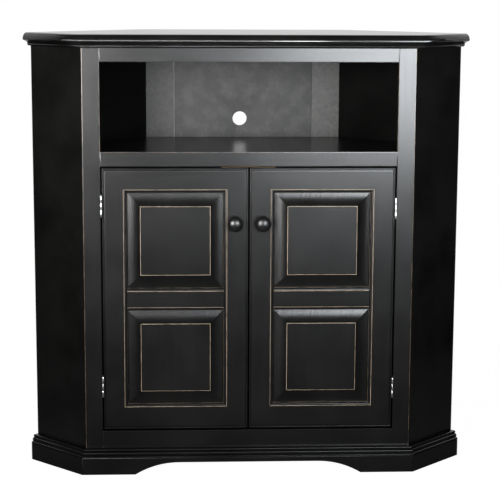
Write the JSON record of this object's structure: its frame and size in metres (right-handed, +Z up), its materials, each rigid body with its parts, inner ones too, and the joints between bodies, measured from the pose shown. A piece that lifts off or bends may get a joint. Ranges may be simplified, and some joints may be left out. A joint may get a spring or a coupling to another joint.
{
  "type": "corner tv cabinet",
  "caption": "Corner television cabinet with an open equipment bay over a cupboard with raised-panel doors, moulded top edge and scalloped base.",
  "frame": {"origin": "on the floor, at the middle of the whole part's width and depth with the doors shut", "axes": "+X to the right seen from the front, -Y to the front, +Z up"},
  "size_m": [1.0846, 0.4184, 1.067],
  "materials": {
    "black_paint": "satin black paint over a faint wood grain, rubbed through to tan wood along the edges",
    "knob_gloss": "high-gloss black lacquer",
    "bare_wood": "planed bare softwood",
    "hinge_steel": "bright zinc-plated steel",
    "catch_plastic": "matt brown plastic"
  },
  "bodies": {
    "cabinet": {"face_stile_right": "black_paint", "face_stile_left": "black_paint", "face_rail_bottom": "black_paint", "face_rail_middle": "black_paint", "face_rail_top": "black_paint", "return_panel_right": "black_paint", "return_panel_left": "black_paint", "wall_panel_right": "black_paint", "wall_panel_left": "black_paint", "back_board": "black_paint", "back_strip_right": "black_paint", "back_strip_left": "black_paint", "top_panel": "black_paint", "bay_floor": "black_paint", "cupboard_floor": "black_paint", "adjustable_shelf": "black_paint", "shelf_pin_front_right": "hinge_steel", "shelf_pin_front_left": "hinge_steel", "shelf_pin_rear_right": "hinge_steel", "shelf_pin_rear_left": "hinge_steel", "base_front": "black_paint", "base_side_right": "black_paint", "base_side_left": "black_paint", "stop_block": "bare_wood", "magnetic_catch_right": "catch_plastic", "magnetic_catch_left": "catch_plastic", "hinge_lower_frame_leaf_left": "hinge_steel", "hinge_lower_pin_left": "hinge_steel", "hinge_upper_frame_leaf_left": "hinge_steel", "hinge_upper_pin_left": "hinge_steel", "hinge_lower_frame_leaf_right": "hinge_steel", "hinge_lower_pin_right": "hinge_steel", "hinge_upper_frame_leaf_right": "hinge_steel", "hinge_upper_pin_right": "hinge_steel"},
    "left_door": {"door_left_stile_hinge": "black_paint", "door_left_stile_meeting": "black_paint", "door_left_rail_top": "black_paint", "door_left_rail_middle": "black_paint", "door_left_rail_bottom": "black_paint", "door_left_panel_upper": "black_paint", "door_left_panel_lower": "black_paint", "door_left_knob": "knob_gloss", "door_left_knob_screw": "hinge_steel", "door_left_strike_plate": "hinge_steel", "door_left_hinge_leaf_lower": "hinge_steel", "door_left_hinge_leaf_upper": "hinge_steel"},
    "right_door": {"door_right_stile_hinge": "black_paint", "door_right_stile_meeting": "black_paint", "door_right_rail_top": "black_paint", "door_right_rail_middle": "black_paint", "door_right_rail_bottom": "black_paint", "door_right_panel_upper": "black_paint", "door_right_panel_lower": "black_paint", "door_right_knob": "knob_gloss", "door_right_knob_screw": "hinge_steel", "door_right_strike_plate": "hinge_steel", "door_right_hinge_leaf_lower": "hinge_steel", "door_right_hinge_leaf_upper": "hinge_steel"}
  },
  "joints": [
    {"name": "left_door_hinge", "type": "hinge", "parent": "cabinet", "child": "left_door", "pos_m": [-0.3535, -0.18185, 0.43], "axis": [0, 0, -1], "range_deg": [0, 170]},
    {"name": "right_door_hinge", "type": "hinge", "parent": "cabinet", "child": "right_door", "pos_m": [0.3535, -0.18185, 0.43], "axis": [0, 0, 1], "range_deg": [0, 170]}
  ]
}
